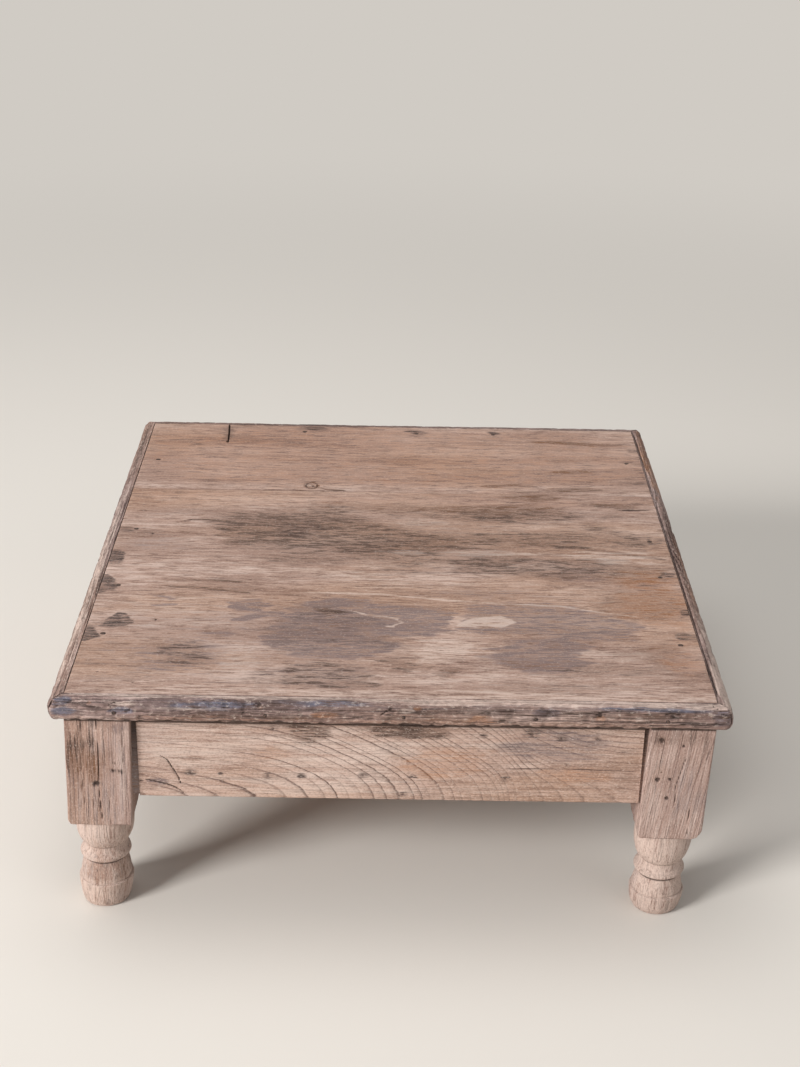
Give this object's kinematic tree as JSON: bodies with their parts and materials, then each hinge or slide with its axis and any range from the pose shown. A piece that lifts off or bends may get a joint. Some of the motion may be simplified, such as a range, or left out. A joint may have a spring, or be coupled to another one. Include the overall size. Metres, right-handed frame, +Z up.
{
  "type": "low table",
  "caption": "Low, nearly square wooden table with a plank top, rounded edge strips, pegged aprons and short square legs ending in turned feet.",
  "frame": {"origin": "on the floor under the middle of the table", "axes": "+Z up, +X to the table's right as seen from the front, -Y to the front"},
  "size_m": [0.521, 0.567, 0.205],
  "materials": {
    "top_wood": "bare weathered planks, sandy pink-grey with dark stains, matt",
    "strip_wood": "darker worn edge strip, dented, matt",
    "apron_wood": "bare pale wood with open cathedral grain, matt",
    "leg_wood": "bare pale wood with open upright grain, matt",
    "peg_wood": "dark end grain, matt",
    "old_iron": "rusted iron, matt"
  },
  "bodies": {
    "root": {"apron_back": "apron_wood", "apron_front": "apron_wood", "apron_left": "apron_wood", "apron_right": "apron_wood", "brad_back_1": "old_iron", "brad_back_2": "old_iron", "brad_back_3": "old_iron", "brad_front_1": "old_iron", "brad_front_2": "old_iron", "brad_front_3": "old_iron", "brad_front_4": "old_iron", "brad_front_5": "old_iron", "brad_left_1": "old_iron", "brad_left_2": "old_iron", "brad_left_3": "old_iron", "brad_right_1": "old_iron", "brad_right_2": "old_iron", "brad_right_3": "old_iron", "edge_strip_back": "strip_wood", "edge_strip_front": "strip_wood", "edge_strip_left": "strip_wood", "edge_strip_right": "strip_wood", "leg_back_left": "leg_wood", "leg_back_right": "leg_wood", "leg_front_left": "leg_wood", "leg_front_right": "leg_wood", "nail_back_1": "old_iron", "nail_back_2": "old_iron", "nail_back_3": "old_iron", "nail_left_1": "old_iron", "nail_left_2": "old_iron", "nail_left_3": "old_iron", "nail_left_4": "old_iron", "nail_right_1": "old_iron", "nail_right_2": "old_iron", "nail_right_3": "old_iron", "nail_right_4": "old_iron", "peg_back_left": "peg_wood", "peg_back_right": "peg_wood", "peg_front_left": "peg_wood", "peg_front_right": "peg_wood", "peg_left_back": "peg_wood", "peg_left_front": "peg_wood", "peg_right_back": "peg_wood", "peg_right_front": "peg_wood", "top_board_back": "top_wood", "top_board_front": "top_wood"}
  },
  "joints": []
}
